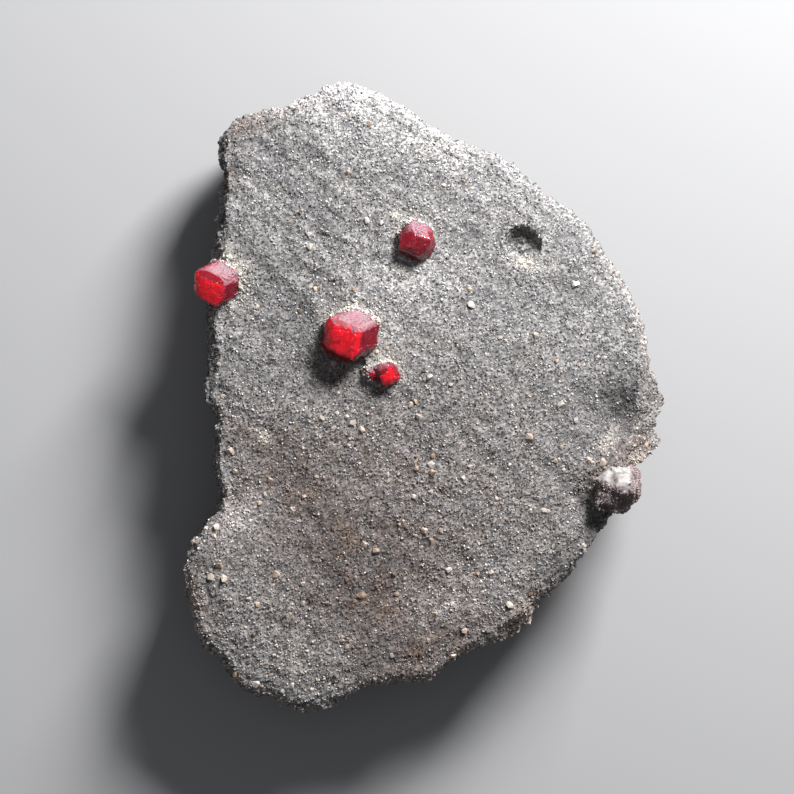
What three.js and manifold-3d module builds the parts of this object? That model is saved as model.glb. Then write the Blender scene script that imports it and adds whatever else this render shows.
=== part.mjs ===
// Garnet in matrix: a loose slab of fine-grained grey rock with garnets grown in its upper face.
// Millimetres, +Z up. The slab lies on its flat back, face up, and the origin is on that back,
// under the middle of the slab. +Y runs along its longest side, towards its narrow upper end.
import * as THREE from "three";
import { ConvexGeometry } from "three/addons/geometries/ConvexGeometry.js";
import { mergeVertices } from "three/addons/utils/BufferGeometryUtils.js";
import Module from "manifold-3d";

const wasm = await Module();
wasm.setup();

// Driving dimensions
const thickness = 19.5; // from the back to the middle of the face
const rimThickness = 18; // the same, at the rim
const shoulderWidth = 4.2; // how far in from the rim the face starts to fall
const bow = 0.0009; // how much the face bows along Y, in mm per mm squared
const rimPoints = 120; // points round the slab
const rimInset = 0.6; // from the widest outline in to the edge of the face
const leftRimInset = 1.3; // the same on the left, where the side slopes outwards
const backInset = 3.2; // from the widest outline in to the edge of the flat back
const ridgeDepth = 1.1; // how deep the slanting ridges of the side go
const socketGap = 0.3; // between a crystal and the rock round it

// The widest outline of the slab, seen from above, from its top tip round to the right.
const rimCorners = [
  [-12.5, 50], [-4.5, 47], [0.5, 43.5], [6.5, 40.5], [10.5, 39.5],
  [18, 33.8], [25.5, 28], [29, 23], [32.5, 17.5], [35, 11],
  [36.3, 4.5], [38.1, -1.5], [36.8, -4.5], [37.2, -7.5], [33.5, -11],
  [32.5, -15], [29, -20], [25.7, -25], [22, -29.5], [18.3, -32.5],
  [16.5, -36], [11, -39], [6.5, -40.5], [0.5, -44.8], [-7, -45.4],
  [-12.5, -47.6], [-19, -50], [-24.5, -47.4], [-28.5, -47], [-32.5, -42],
  [-36, -39], [-37, -33.5], [-38.1, -27.4], [-36, -22.5], [-32.4, -17],
  [-33.5, -11], [-33.2, -3], [-35.1, 0.5], [-34, 6], [-34.3, 12],
  [-33.6, 20], [-32.8, 26], [-31.8, 34], [-32, 42], [-29, 44.6],
  [-24, 45.4], [-18, 47.5],
];

// Rises (height above 0) and hollows (below 0) of the face, each a soft round swell.
const swells = [
  { name: "collar above the large garnet", x: -9, y: 15.5, radius: 4.5, height: 1.1 },
  { name: "ridge between large and small garnet", x: -6.5, y: 7, radius: 3.2, height: 0.9 },
  { name: "hollow below the large garnet", x: -15.5, y: 4, radius: 4, height: -0.9 },
  { name: "collar above the upper garnet", x: -0.5, y: 29, radius: 3.6, height: 0.8 },
  { name: "ridge beside the edge garnet", x: -28.5, y: 21.5, radius: 4, height: 1.0 },
  { name: "lip under the lost garnet's socket", x: 16.2, y: 20.6, radius: 3.2, height: 0.5 },
  { name: "hollow in the right rim", x: 31.5, y: -3, radius: 5, height: -1.2 },
  { name: "collar above the coated garnet", x: 29, y: -10, radius: 3.6, height: 0.8 },
  { name: "hollow beside the coated garnet", x: 27.3, y: -17.5, radius: 3.2, height: -1.8 },
  { name: "swell in the lower left lobe", x: -29, y: -30, radius: 9, height: 0.9 },
  { name: "trough under the left side", x: -24, y: -12, radius: 9, height: -0.7 },
  { name: "swell right of the middle", x: 9, y: 4, radius: 14, height: 0.8 },
  { name: "trough in the lower middle", x: 0, y: -33, radius: 9, height: -0.8 },
  { name: "fall towards the upper left corner", x: -27, y: 38, radius: 8, height: -0.9 },
  { name: "thin upper right quarter", x: 26, y: 30, radius: 22, height: -2.2 },
];

// Empty places cut out of the rock: flattened balls, centred on or near its surface. wide and
// deep are half widths.
const pits = [
  { name: "socket of the lost garnet", x: 16, y: 24.4, z: 17.2, wide: 3.4, deep: 2.6 },
  { name: "small pit at the left", x: -24.6, y: -5.2, z: 18, wide: 1.3, deep: 1.3 },
  { name: "break in the upper left rim", x: -32.4, y: 36, z: 13.5, wide: 2.3, deep: 3.2 },
  { name: "cleft in the lower left rim", x: -37.8, y: -36, z: 11.2, wide: 3, deep: 1.1 },
];

// Flat breaks where splinters came off the side. Each is a plane through a point, looking
// along compass (0 is +X, 90 is +Y) and up (negative looks down), wide across.
const breaks = [
  { name: "under the right rim", at: [34.6, 4, 5], compass: 8, up: -42, wide: 26 },
  { name: "under the lower right rim", at: [23.4, -26, 6], compass: -40, up: -22, wide: 24 },
  { name: "under the upper right rim", at: [21.8, 29.5, 4], compass: 46, up: -34, wide: 26 },
  { name: "under the top tip", at: [-12, 47.8, 5], compass: 80, up: -28, wide: 22 },
  { name: "under the upper left rim", at: [-32, 33, 3.5], compass: 176, up: -36, wide: 20 },
  { name: "under the lower left lobe", at: [-35.6, -33, 5], compass: 192, up: -30, wide: 18 },
  { name: "under the bottom tip", at: [-16, -46.8, 5], compass: -104, up: -40, wide: 24 },
  { name: "on the upper left corner", at: [-30.5, 43.4, 15.2], compass: 128, up: 36, wide: 12 },
  { name: "on the lower right rim", at: [13, -37.4, 15.8], compass: -55, up: 44, wide: 12 },
  { name: "on the right rim", at: [37.0, -1.5, 15.2], compass: -6, up: 50, wide: 18 },
];

// The crystals. size is the width along each axis of the crystal, and lift is how far its
// middle stands above the rock's face there. Its main face leans over by lean degrees from
// straight up, towards a compass direction, and spin turns the crystal about that face.
const largeGarnet = {
  x: -11.4, y: 9.9, lift: 0.5, size: [10.2, 10.2, 10.9], lean: 20, towards: 215, spin: 118,
};
const upperGarnet = {
  x: -0.9, y: 24.8, lift: 0.1, size: [7.1, 7.1, 7.4], lean: 12, towards: 250, spin: 15,
};
const smallGarnet = {
  x: -5.6, y: 3.8, lift: 0.5, size: [4.3, 4.3, 4.4], lean: 18, towards: 265, spin: 75,
};
const coveredGarnet = {
  x: -8.1, y: 3.9, lift: -0.3, size: [3.4, 3.2, 3.2], lean: 30, towards: 230, spin: 20,
};
const edgeGarnet = {
  x: -32.4, y: 18.2, lift: 0.2, size: [8.4, 8.4, 8.4], lean: 24, towards: 228, spin: 112,
};
const coatedGarnet = {
  x: 30.9, y: -14.5, lift: 0.3, size: [7.8, 8.4, 10.4], lean: 35, towards: 60, spin: -50,
};

const rockMaterial = new THREE.MeshStandardMaterial({ color: 0x908a89, roughness: 0.95, metalness: 0 });
const garnetMaterial = new THREE.MeshStandardMaterial({ color: 0xb0081e, roughness: 0.12, metalness: 0 });
const coatMaterial = new THREE.MeshStandardMaterial({ color: 0xc9bfbf, roughness: 0.7, metalness: 0 });

const { lerp, smoothstep, degToRad } = THREE.MathUtils;

// The smooth closed curve through the outline's corners.
const rimCurve = new THREE.CatmullRomCurve3(
  rimCorners.map(([x, y]) => new THREE.Vector3(x, y, 0)),
  true,
  "centripetal",
);
const rimSamples = rimCurve.getSpacedPoints(rimPoints * 2);

// Height of the rock's face above the back at a place on it.
function faceHeight(x, y) {
  const fromRim = Math.min(...rimSamples.map((rim) => Math.hypot(rim.x - x, rim.y - y)));
  let height = lerp(rimThickness, thickness, smoothstep(fromRim, 0, shoulderWidth));
  height -= bow * y * y;
  for (const swell of swells) {
    const away = Math.hypot(x - swell.x, y - swell.y) / swell.radius;
    height += swell.height * Math.exp(-away * away);
  }
  return height;
}

// A closed mesh from rings of rimPoints places each, from the back up. The first ring closes
// onto one point below and the last onto one point above.
function ringGeometry(below, rings, above) {
  const sphere = new THREE.SphereGeometry(1, rimPoints, rings.length + 1);
  const position = sphere.getAttribute("position");
  for (let i = 0; i < position.count; i++) {
    const row = Math.floor(i / (rimPoints + 1));
    const column = (i % (rimPoints + 1)) % rimPoints;
    let place = rings[rings.length - row]?.[column];
    if (row === 0) place = above;
    if (row === rings.length + 1) place = below;
    position.setXYZ(i, place.x, place.y, place.z);
  }
  return sphere;
}

// How far in from the widest outline the broken side lies, at a share of its height. It is
// widest halfway up on the left and close under the face elsewhere, with slanting ridges.
function sideInset(angle, share, leftness, edgeInset) {
  const widest = lerp(0.8, 0.56, leftness) + 0.08 * Math.sin(3 * angle + 1);
  const below = Math.max(0, (widest - share) / widest);
  const above = Math.max(0, (share - widest) / (1 - widest));
  const broadRidges = Math.abs(Math.sin(4.5 * angle + 3 * share));
  const narrowRidges = Math.abs(Math.sin(11 * angle - 5 * share));
  const ridges = broadRidges + 0.5 * narrowRidges;
  const calm = smoothstep(Math.abs(share - widest), 0.07, 0.3) * Math.min(1, 5 * (1 - share));
  const back = backInset * (1 + 0.3 * Math.sin(2 * angle + 0.5));
  return back * below ** 1.8 + edgeInset * above ** 1.8 + ridgeDepth * ridges * calm;
}

// The whole slab before any socket is cut: levels up the broken side, then rings in over the
// face, which crowd towards its edge.
function slabGeometry() {
  const levels = [0, 0.1, 0.22, 0.35, 0.48, 0.61, 0.74, 0.87, 0.96];
  const faceShares = [0.02, 0.055, 0.1, 0.16, 0.24, 0.33, 0.43, 0.53, 0.64, 0.76, 0.88];
  const rings = [...levels, ...faceShares].map(() => []);
  for (let i = 0; i < rimPoints; i++) {
    const rim = rimCurve.getPointAt(1 - i / rimPoints);
    const reach = rim.length();
    const angle = Math.atan2(rim.y, rim.x);
    const leftness = smoothstep(-rim.x, 24, 33);
    const edgeInset = lerp(rimInset, leftRimInset, leftness);
    const edgeHeight = faceHeight(rim.x, rim.y);
    levels.forEach((share, j) => {
      const inset = sideInset(angle, share, leftness, edgeInset);
      const place = rim.clone().setLength(reach - inset);
      place.z = share * edgeHeight;
      rings[j].push(place);
    });
    faceShares.forEach((share, j) => {
      const place = rim.clone().setLength((reach - edgeInset) * (1 - share));
      place.z = faceHeight(place.x, place.y);
      rings[levels.length + j].push(place);
    });
  }
  const middle = new THREE.Vector3(0, 0, 0);
  return ringGeometry(middle, rings, middle.clone().setZ(faceHeight(0, 0)));
}

// A garnet: the twelve faces of a rhombic dodecahedron, whose edges the twenty-four faces of a
// trapezohedron cut off. bevel sets how much they cut: 1.15 is none, 1 is plenty. Faces stand a
// little nearer to or further from the middle, by uneven, as they do on a grown crystal.
function crystalGeometry(size, bevel, uneven, seed) {
  const planes = [];
  const addPlane = (x, y, z, distance) => {
    const grown = 1 + uneven * Math.sin(seed * 3.3 + planes.length * 2.39);
    planes.push({ normal: new THREE.Vector3(x, y, z).normalize(), distance: distance * grown });
  };
  for (const a of [1, -1]) {
    for (const b of [1, -1]) {
      addPlane(a, b, 0, 1);
      addPlane(a, 0, b, 1);
      addPlane(0, a, b, 1);
      for (const c of [1, -1]) {
        addPlane(2 * a, b, c, bevel);
        addPlane(a, 2 * b, c, bevel);
        addPlane(a, b, 2 * c, bevel);
      }
    }
  }
  const crystal = new ConvexGeometry(cornersOf(planes));
  crystal.computeBoundingBox();
  const width = crystal.boundingBox.getSize(new THREE.Vector3());
  crystal.scale(size[0] / width.x, size[1] / width.y, size[2] / width.z);
  return crystal;
}

// The corners of the solid inside a set of planes: where three of them meet, and no other
// cuts the place off. Corners closer than a hair are one.
function cornersOf(planes) {
  const hair = 0.02;
  const corners = [];
  for (let i = 0; i < planes.length; i++) {
    for (let j = i + 1; j < planes.length; j++) {
      for (let k = j + 1; k < planes.length; k++) {
        const three = [planes[i], planes[j], planes[k]];
        const [a, b, c] = three.map((plane) => plane.normal);
        const normals = new THREE.Matrix3(a.x, a.y, a.z, b.x, b.y, b.z, c.x, c.y, c.z);
        if (Math.abs(normals.determinant()) < 1e-3) continue;
        const corner = new THREE.Vector3(...three.map((plane) => plane.distance));
        corner.applyMatrix3(normals.invert());
        const isInside = planes.every(({ normal, distance }) => normal.dot(corner) < distance + 1e-6);
        if (isInside && corners.every((other) => other.distanceTo(corner) > hair)) corners.push(corner);
      }
    }
  }
  return corners;
}

// The crystal as a mesh where it grew: its main face looks up, then leans over.
function crystalMesh(crystal, bevel, uneven, seed) {
  const mesh = new THREE.Mesh(crystalGeometry(crystal.size, bevel, uneven, seed), garnetMaterial);
  const mainFace = new THREE.Vector3(1, 1, 0).normalize();
  const longDiagonal = new THREE.Vector3(1, -1, 0).normalize();
  const across = new THREE.Vector3().crossVectors(mainFace, longDiagonal);
  const faceUp = new THREE.Matrix4().makeBasis(longDiagonal, across, mainFace).transpose();
  const towards = degToRad(crystal.towards);
  const leanAxis = new THREE.Vector3(-Math.sin(towards), Math.cos(towards), 0);
  const spin = new THREE.Matrix4().makeRotationZ(degToRad(crystal.spin));
  const lean = new THREE.Matrix4().makeRotationAxis(leanAxis, degToRad(crystal.lean));
  mesh.setRotationFromMatrix(lean.multiply(spin).multiply(faceUp));
  mesh.position.set(crystal.x, crystal.y, faceHeight(crystal.x, crystal.y) + crystal.lift);
  return mesh;
}

// The solid of a mesh where it stands. grow makes it larger all round, which gives a socket.
function solidOf(mesh, grow = 0) {
  const geometry = mesh.geometry.clone();
  if (grow > 0) {
    geometry.computeBoundingBox();
    const width = geometry.boundingBox.getSize(new THREE.Vector3());
    const sizes = [width.x, width.y, width.z].map((size) => 1 + (2.5 * grow) / size);
    geometry.scale(...sizes);
  }
  mesh.updateMatrixWorld();
  geometry.applyMatrix4(mesh.matrixWorld);
  geometry.deleteAttribute("normal");
  geometry.deleteAttribute("uv");
  const merged = mergeVertices(geometry, 1e-3);
  const vertProperties = merged.attributes.position.array;
  const triVerts = new Uint32Array(merged.index.array);
  return new wasm.Manifold(new wasm.Mesh({ numProp: 3, vertProperties, triVerts }));
}

function meshOf(solid, material) {
  const { numProp, vertProperties, triVerts } = solid.getMesh();
  const geometry = new THREE.BufferGeometry();
  geometry.setAttribute("position", new THREE.BufferAttribute(vertProperties, numProp));
  geometry.setIndex(new THREE.BufferAttribute(triVerts, 1));
  geometry.computeVertexNormals();
  return new THREE.Mesh(geometry, material);
}

function pitMesh({ x, y, z, wide, deep }) {
  const mesh = new THREE.Mesh(new THREE.SphereGeometry(1, 20, 12));
  mesh.scale.set(wide, wide * 0.9, deep);
  mesh.position.set(x, y, z);
  return mesh;
}

// A block whose inner face is the plane of the break.
function breakMesh({ at, compass, up, wide }) {
  const mesh = new THREE.Mesh(new THREE.BoxGeometry(wide, wide, wide));
  const looks = new THREE.Vector3(1, 0, 0);
  looks.applyAxisAngle(new THREE.Vector3(0, 1, 0), -degToRad(up));
  looks.applyAxisAngle(new THREE.Vector3(0, 0, 1), degToRad(compass));
  mesh.quaternion.setFromUnitVectors(new THREE.Vector3(1, 0, 0), looks);
  mesh.position.set(...at).addScaledVector(looks, wide / 2);
  return mesh;
}

const large = crystalMesh(largeGarnet, 1.09, 0.03, 1);
const upper = crystalMesh(upperGarnet, 1.06, 0.04, 2);
const small = crystalMesh(smallGarnet, 1.05, 0.04, 3);
const covered = crystalMesh(coveredGarnet, 1.08, 0.04, 4);
const edge = crystalMesh(edgeGarnet, 1.08, 0.04, 5);
const coated = crystalMesh(coatedGarnet, 0.98, 0.06, 6);
coated.material = coatMaterial;
const smallPair = meshOf(solidOf(small).add(solidOf(covered)), garnetMaterial);

let rock = solidOf(new THREE.Mesh(slabGeometry()));
for (const place of breaks) rock = rock.subtract(solidOf(breakMesh(place)));
for (const pit of pits) rock = rock.subtract(solidOf(pitMesh(pit)));
for (const crystal of [large, upper, small, covered, edge, coated]) {
  rock = rock.subtract(solidOf(crystal, socketGap));
}
const matrix = meshOf(rock, rockMaterial);

matrix.name = "matrix";
large.name = "large_garnet";
upper.name = "upper_garnet";
edge.name = "edge_garnet";
smallPair.name = "small_garnets";
coated.name = "coated_garnet";

const specimen = new THREE.Group();
specimen.add(matrix, large, upper, edge, smallPair, coated);
const middle = new THREE.Box3().setFromObject(specimen, true).getCenter(new THREE.Vector3());
specimen.position.set(-middle.x, -middle.y, 0);
export default specimen;
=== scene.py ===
import math
import random

import bmesh
import bpy
import numpy as np
from mathutils import Matrix, Vector, noise
from mathutils.bvhtree import BVHTree
from mathutils.kdtree import KDTree


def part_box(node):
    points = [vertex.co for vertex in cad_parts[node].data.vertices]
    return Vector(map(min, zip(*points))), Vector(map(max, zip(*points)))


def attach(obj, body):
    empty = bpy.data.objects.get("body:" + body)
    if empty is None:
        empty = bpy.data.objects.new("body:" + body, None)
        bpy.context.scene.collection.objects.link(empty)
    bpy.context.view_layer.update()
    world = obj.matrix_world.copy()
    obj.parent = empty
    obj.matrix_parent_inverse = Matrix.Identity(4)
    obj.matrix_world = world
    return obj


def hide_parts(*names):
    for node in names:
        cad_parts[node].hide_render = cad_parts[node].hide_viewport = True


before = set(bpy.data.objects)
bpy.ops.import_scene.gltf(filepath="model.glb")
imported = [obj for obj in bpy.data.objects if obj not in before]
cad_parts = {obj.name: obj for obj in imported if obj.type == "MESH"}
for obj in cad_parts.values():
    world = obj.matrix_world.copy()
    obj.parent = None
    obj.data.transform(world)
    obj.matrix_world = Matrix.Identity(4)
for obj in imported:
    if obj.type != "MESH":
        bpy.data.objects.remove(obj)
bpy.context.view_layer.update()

# Garnet in matrix: a slab of sugary grey rock on its back, with red garnets grown in its face.
# Places and sizes are in metres, so mm is one millimetre.
mm = 0.001
rockLow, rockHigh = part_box("matrix")
rockSize = rockHigh - rockLow
garnetNames = ["large_garnet", "upper_garnet", "edge_garnet", "small_garnets"]
rng = np.random.default_rng(7)


def onSlab(across, along):
    # a place on the slab, as shares of its width and length from its lower left
    return Vector((rockLow.x + across * rockSize.x, rockLow.y + along * rockSize.y, 0))


def middleOf(node):
    low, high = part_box(node)
    return (low + high) / 2


def compassWay(compass, level=1.0, rise=0.0):
    # a direction, its compass degrees counted from across the slab
    angle = math.radians(compass)
    return np.array((math.cos(angle) * level, math.sin(angle) * level, rise))


def link(name, data):
    piece = bpy.data.objects.new(name, data)
    bpy.context.scene.collection.objects.link(piece)
    return piece


def addRemesh(piece, size, rounded=False):
    # rebuilds the piece as an even closed mesh
    remesh = piece.modifiers.new("even mesh", "REMESH")
    remesh.mode = "VOXEL"
    remesh.voxel_size = size
    remesh.use_smooth_shade = rounded


def applyModifiers(piece):
    depsgraph = bpy.context.evaluated_depsgraph_get()
    mesh = bpy.data.meshes.new_from_object(piece.evaluated_get(depsgraph))
    piece.modifiers.clear()
    piece.data = mesh


def keepNotes(mesh, notes):
    # numbers for each vertex, which a material reads by name
    for name, values in notes.items():
        note = mesh.attributes.new(name, "FLOAT", "POINT")
        note.data.foreach_set("value", np.asarray(values, np.float32))


def placesOf(mesh):
    places = np.empty(len(mesh.vertices) * 3, np.float32)
    mesh.vertices.foreach_get("co", places)
    return places.reshape(-1, 3).astype(float)


def movePlaces(mesh, places):
    mesh.vertices.foreach_set("co", places.astype(np.float32).ravel())
    mesh.update()


def normalsOf(mesh):
    normals = np.empty(len(mesh.vertices) * 3, np.float32)
    mesh.vertex_normals.foreach_get("vector", normals)
    return normals.reshape(-1, 3).astype(float)


def skinTree(mesh):
    # finds the place on a mesh that is nearest
    return BVHTree.FromPolygons([v.co for v in mesh.vertices], [p.vertices for p in mesh.polygons])


def pointTree(points):
    tree = KDTree(len(points))
    for i, point in enumerate(points):
        tree.insert(point, i)
    tree.balance()
    return tree


def shiftOf(seed):
    # so that each seed has swells of its own
    return Vector((seed * 3.7, seed * 1.9, seed * 2.3))


def soft(places, size, seed):
    # smooth noise from -1 to 1 whose swells are about size apart
    shift = shiftOf(seed)
    return np.array([noise.noise(Vector(p) / size + shift) for p in places])


def cells(places, size, seed):
    # 0 in the middle of each cell of about this size, near 1 where cells meet
    shift = shiftOf(seed)
    return np.array([noise.voronoi(Vector(p) / size + shift)[0][0] for p in places])


def ramp(values, start, end):
    # 0 up to start, 1 from end on, and a soft rise between
    share = np.clip((values - start) / (end - start), 0, 1)
    return share * share * (3 - 2 * share)


# What colours the rock: a rusty stain, dark and light patches, some of them painted light and shade, and
# pale rims at the crystals.
# Each spot is an oval at a place on the slab, its half sizes in millimetres and its turn in degrees.
stains = [
    dict(at=(0.15, 0.43), size=(8, 5), turn=-35, weight=0.55),
    dict(at=(0.23, 0.37), size=(11, 8), turn=-35, weight=0.95),
    dict(at=(0.32, 0.28), size=(15, 9), turn=-52, weight=1.0),
    dict(at=(0.39, 0.18), size=(14, 10), turn=-50, weight=1.0),
    dict(at=(0.5, 0.1), size=(15, 6), turn=24, weight=0.95),
    dict(at=(0.38, 0.26), size=(27, 21), turn=-45, weight=0.72),
    dict(at=(0.52, 0.3), size=(34, 26), turn=-20, weight=0.4),
    dict(at=(0.7, 0.14), size=(11, 3), turn=42, weight=0.8),
    dict(at=(0.94, 0.41), size=(5, 4), turn=60, weight=0.9),
    dict(at=(0.88, 0.385), size=(4, 2), turn=30, weight=0.8),
    dict(at=(0.03, 0.17), size=(5, 9), weight=0.6),
    dict(at=(0.12, 0.93), size=(8, 3), turn=30, weight=0.6),
    dict(at=(0.085, 0.845), size=(1.2, 2.6), weight=0.9),
]
# light is above 0 where the rock is paler and below 0 where it is darker; besides the rock's own tone, some
# spots are painted light and shade
patches = [
    # the first two spots make the top tip paler, partly painted light where the face rounds towards the
    # lamp
    dict(at=(0.33, 0.98), size=(9, 6), turn=-15, light=0.8),
    dict(at=(0.52, 0.9), size=(12, 6), turn=-30, light=0.48),
    dict(at=(0.8, 0.78), size=(12, 4), turn=-48, light=0.2),
    dict(at=(0.48, 0.68), size=(8, 7), light=0.46),
    dict(at=(0.11, 0.31), size=(6, 2.8), turn=32, light=0.6),
    dict(at=(0.56, 0.18), size=(8, 3.5), turn=10, light=0.62),
    dict(at=(0.67, 0.21), size=(5, 4), turn=40, light=0.25),
    dict(at=(0.22, 0.08), size=(12, 5), turn=-35, light=0.3),
    dict(at=(0.18, 0.72), size=(9, 7), turn=-40, light=-0.14),
    dict(at=(0.3, 0.6), size=(8, 6), turn=-30, light=-0.12),
    dict(at=(0.92, 0.49), size=(5, 5), turn=80, light=-0.62),
    dict(at=(0.88, 0.31), size=(5, 4), turn=60, light=-0.25),
    dict(at=(0.79, 0.215), size=(5, 3), turn=50, light=-0.6),
    dict(at=(0.35, 0.22), size=(14, 9), turn=-50, light=-0.38),
    dict(at=(0.22, 0.38), size=(7, 5), turn=-35, light=-0.22),
    dict(at=(0.46, 0.1), size=(9, 3.5), turn=20, light=-0.3),
    dict(at=(0.02, 0.24), size=(3, 3), light=-0.3),
    dict(at=(0.15, 0.77), size=(5, 5), light=-0.12),
    dict(at=(0.94, 0.5), size=(4, 6), light=-0.2),
    dict(at=(0.25, 0.6), size=(5, 4), turn=-30, light=-0.16),
    dict(at=(0.517, 0.828), size=(6, 5), turn=-40, light=-0.16),
    dict(at=(0.787, 0.7), size=(6, 5), light=-0.12),
    dict(at=(0.24, 0.03), size=(8, 2.5), turn=-25, light=-0.25),
    # painted shade on the upper wall of the empty socket
    dict(at=(0.708, 0.756), size=(2.6, 1.9), turn=-15, light=-0.35),
    # painted shade along the left rim, which turns away from the lamp
    dict(at=(0.06, 0.555), size=(1.7, 9), turn=4, light=-0.4),
    # painted shade in the notch on the upper left rim
    dict(at=(0.1, 0.86), size=(1.5, 1.3), light=-0.55),
    # the next three spots are painted shade in the slanting grooves of the folds
    dict(at=(0.246, 0.85), size=(6.5, 1.5), turn=-48, light=-0.3),
    dict(at=(0.167, 0.709), size=(5.5, 1.7), turn=-50, light=-0.34),
    dict(at=(0.298, 0.788), size=(4.5, 1.4), turn=-44, light=-0.26),
    dict(at=(0.55, 0.48), size=(34, 24), turn=-20, light=-0.12),
]
# pale rims: how far they reach from a crystal, and the side of it where they are strongest
rims = [
    dict(node="large_garnet", reach=1.2, side=80, weight=0.75),
    dict(node="small_garnets", reach=1.3, side=70, weight=0.9),
    dict(node="upper_garnet", reach=1.1, side=120, weight=0.5),
    dict(node="edge_garnet", reach=2.0, side=40, weight=0.9),
]
creamSpots = [
    # painted highlight: the first spot, under the empty socket, stands for its lit lower lip
    dict(at=(0.72, 0.712), size=(2.6, 0.9), turn=-12, weight=1.0),  # under the empty socket
    dict(at=(0.17, 0.436), size=(0.8, 1.2), turn=25, weight=0.7),
    dict(at=(0.446, 0.79), size=(1.0, 0.8), weight=0.8),
    dict(at=(0.888, 0.43), size=(1.0, 3.0), turn=-35, weight=0.6),
    dict(at=(0.95, 0.4), size=(3.0, 1.0), turn=20, weight=0.5),
    dict(at=(0.02, 0.17), size=(1.6, 7.0), turn=8, weight=0.6),  # flakes on the lower left
]


def spotShare(places, at, size, turn=0, **others):
    # 1 in the middle of a soft oval on the slab, falling to 0 outside it
    middle = onSlab(*at)
    angle = math.radians(turn)
    x = (places[:, 0] - middle.x) / mm
    y = (places[:, 1] - middle.y) / mm
    u = (x * math.cos(angle) + y * math.sin(angle)) / size[0]
    v = (y * math.cos(angle) - x * math.sin(angle)) / size[1]
    return np.exp(-(u * u + v * v))


def stainAt(places):
    total = np.zeros(len(places))
    for spot in stains:
        total = np.maximum(total, spot["weight"] * spotShare(places, **spot))
    return total


def lightAt(places):
    total = np.zeros(len(places))
    for spot in patches:
        total += spot["light"] * spotShare(places, **spot)
    return np.clip(0.5 + 0.5 * total, 0, 1)


def nearTop(places):
    # 0 on the lower half of the rock, 1 on its upper third
    return ramp(places[:, 2], 0.55 * rockSize.z, 0.7 * rockSize.z)


def rimShare(places, normals):
    # 1 along the broken rim of the face, which is warmer than the face and painted paler, partly as painted
    # light
    return ramp(normals[:, 2], -0.1, 0.3) * (1 - ramp(normals[:, 2], 0.6, 0.9)) * nearTop(places)


def colourNotes(places, normals):
    # what the rock and its grains are coloured by
    rim = rimShare(places, normals)
    lowerRight = ramp(places[:, 0] - places[:, 1], -10 * mm, 25 * mm)
    onTop = ramp(places[:, 2], 0.3 * rockSize.z, 0.75 * rockSize.z)
    # the rim's paleness, strongest on the lower right, is partly painted light where the rim turns away
    # from the lamp
    return {"stain": np.maximum(onTop * stainAt(places), 0.55 * rim * lowerRight),
            "light": np.clip(0.5 + onTop * (lightAt(places) - 0.5) + rim * (0.1 + 0.22 * lowerRight), 0, 1),
            "cream": creamAt(places)}


crystalTrees = {node: skinTree(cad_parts[node].data) for node in [*garnetNames, "coated_garnet"]}


def crystalDistance(places, node, within):
    # how far each place is from the crystal's skin, less than 0 inside it, or within at the most
    low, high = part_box(node)
    low, high = np.array(low) - within, np.array(high) + within
    distance = np.full(len(places), within)
    for i in np.flatnonzero(np.all((places > low) & (places < high), axis=1)):
        hit, normal, _, away = crystalTrees[node].find_nearest(Vector(places[i]))
        outside = (Vector(places[i]) - hit).dot(normal) > 0
        distance[i] = min(away if outside else -away, within)
    return distance


def creamAt(places):
    # where pale mica dusts the rock: on one side of each crystal, and in spots, one of them a painted
    # highlight below the empty socket
    total = np.zeros(len(places))
    for rim in rims:
        middle = middleOf(rim["node"])
        compass = np.arctan2(places[:, 1] - middle.y, places[:, 0] - middle.x)
        facing = 0.5 + 0.5 * np.cos(compass - math.radians(rim["side"]))
        away = crystalDistance(places, rim["node"], 5 * mm) / (rim["reach"] * mm)
        total = np.maximum(total, rim["weight"] * facing * np.exp(-np.clip(away, 0, None) ** 2))
    for spot in creamSpots:
        share = spotShare(places, **spot) * (places[:, 2] > 0.5 * rockSize.z)
        total = np.maximum(total, spot["weight"] * share)
    return total


rockLook = dict(
    meshSize=0.63 * mm,  # halved on the face
    foldHeight=0.32 * mm, foldLength=9 * mm, foldWidth=3 * mm, foldTurn=-38,
    foldShare=0.45, foldMore=0.75, foldPlace=dict(at=(0.22, 0.8), size=(26, 22)),
    lumpHeight=0.15 * mm, lumpSize=1.7 * mm,
    grainHeight=0.15 * mm, grainSize=0.5 * mm,
    chipDepth=0.8 * mm, chipSize=2.6 * mm,  # splinters lost from the rim and the sides
    layerDepth=0.45 * mm, layerSize=1.5 * mm,  # bedding that shows on the broken sides
    layerWave=1.2 * mm, layerWaveLength=14 * mm,
    rimOut=0.55 * mm, rimUp=0.45 * mm,  # squares the rounded shoulder off to a broken edge
    rimSplinters=0.38 * mm, splinterSize=1.3 * mm,
    backHollow=1 * mm, backSize=11 * mm,
    grip=0.35 * mm, gripReach=1.2 * mm,  # how far the rock closes in round each crystal
    lostSocket=dict(at=(0.711, 0.745), size=(4.5, 4.5)),
    socketFloor=dict(at=(0.711, 0.745), size=(3.6, 3.6)),
    socketFill=0.2, socketLumps=0.3 * mm,  # the empty socket is partly filled and uneven
    faceHeight=0.86,  # as a share of the rock's height
)


def splinters(places, size, seed):
    # each cell of about this size stands out or back by its own amount, from -1 to 1
    shift = shiftOf(seed)
    near = (noise.voronoi(Vector(p) / size + shift)[1][0] for p in places)
    return np.array([noise.cell(point * 23.7) for point in near])


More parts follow.
